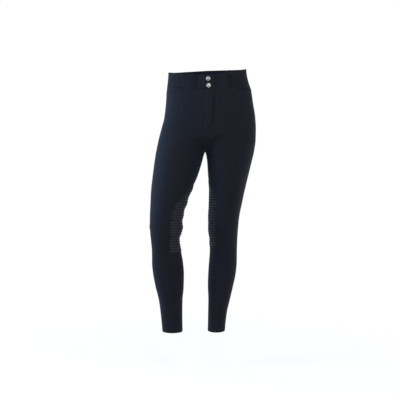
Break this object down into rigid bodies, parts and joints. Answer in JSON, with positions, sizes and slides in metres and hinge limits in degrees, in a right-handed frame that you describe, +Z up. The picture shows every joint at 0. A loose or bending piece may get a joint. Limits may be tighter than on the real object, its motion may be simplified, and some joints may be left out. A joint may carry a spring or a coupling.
{
  "type": "riding breeches",
  "caption": "Close-fitting women's riding breeches, worn and hollow with one leg stepping forward; snap waistband, fly lap, scoop pockets and grip knee patches.",
  "frame": {"origin": "centre of the waist opening, at the middle of the waistband's height", "axes": "+Z up, -Y to the wearer's front, +X to the wearer's left"},
  "size_m": [0.3812, 0.2496, 0.9472],
  "materials": {
    "cloth": "matte four-way stretch woven cloth, very dark navy",
    "silicone_grip": "low satin silicone rows on stretch cloth, slightly lighter than the cloth",
    "snap_metal": "satin antique nickel, domed",
    "zip_tape": "plain woven tape and nylon coil, near black"
  },
  "bodies": {
    "root": {"front_right": "cloth", "front_left": "cloth", "back_right": "cloth", "back_left": "cloth", "waistband_right": "cloth", "waistband_left": "cloth", "pocket_facing_right": "cloth", "pocket_facing_left": "cloth", "knee_patch_right": "silicone_grip", "knee_patch_left": "silicone_grip", "belt_loop_front_right": "cloth", "belt_loop_front_left": "cloth", "belt_loop_back_right": "cloth", "belt_loop_back_left": "cloth", "belt_loop_centre_back": "cloth", "button_top": "snap_metal", "button_bottom": "snap_metal", "zip": "zip_tape", "zip_slider": "snap_metal"}
  },
  "joints": []
}
